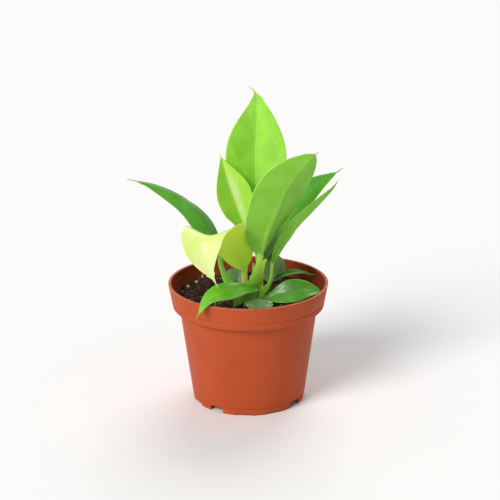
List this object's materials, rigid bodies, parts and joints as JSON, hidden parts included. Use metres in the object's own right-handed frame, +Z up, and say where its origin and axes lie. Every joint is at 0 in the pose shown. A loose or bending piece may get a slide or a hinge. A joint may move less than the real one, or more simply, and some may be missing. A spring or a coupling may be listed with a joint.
{
  "type": "potted philodendron",
  "caption": "Young leafy philodendron in a round tapered nursery pot with a stacking band, drain notches and potting mix.",
  "frame": {"origin": "centre of the flat face that the pot stands on", "axes": "+Z up along the pot's axis, -Y towards the side that shows best, +X to the right of that view"},
  "size_m": [0.1434, 0.1088, 0.2133],
  "materials": {
    "terracotta_plastic": "matte moulded plastic",
    "potting_mix": "damp fibrous peat and bark",
    "bark": "rough bark",
    "straw": "dry twig",
    "perlite": "rough white grain",
    "stem_green": "smooth living stalk",
    "leaf_fresh": "satin living leaf",
    "leaf_pale": "matte underside of a living leaf",
    "leaf_deep": "glossy living leaf",
    "leaf_grey": "matte living leaf",
    "leaf_yellow": "satin new leaf"
  },
  "bodies": {
    "root": {"pot": "terracotta_plastic", "potting_mix": "potting_mix", "bark_chip": "bark", "twig": "straw", "perlite_left": "perlite", "perlite_middle": "perlite", "perlite_back": "perlite", "crown_stem": "stem_green", "sprout": "stem_green", "rolled_sheath": "stem_green", "stalk_tall_back": "stem_green", "stalk_inner_left": "stem_green", "stalk_front_big": "stem_green", "stalk_right_back": "stem_green", "stalk_right_front": "stem_green", "stalk_far_left": "stem_green", "stalk_yellow_new": "stem_green", "stalk_front_left": "stem_green", "stalk_right_curl": "stem_green", "stalk_back_round": "stem_green", "stalk_back_left": "stem_green", "leaf_tall_back": "leaf_fresh", "leaf_inner_left": "leaf_fresh", "leaf_front_left": "leaf_fresh", "leaf_front_big": "leaf_pale", "leaf_right_front": "leaf_pale", "leaf_right_curl": "leaf_pale", "leaf_right_back": "leaf_deep", "leaf_far_left": "leaf_deep", "leaf_front_right": "leaf_deep", "leaf_front_small": "leaf_deep", "leaf_back_round": "leaf_grey", "leaf_back_left": "leaf_grey", "leaf_yellow_new": "leaf_yellow"}
  },
  "joints": []
}
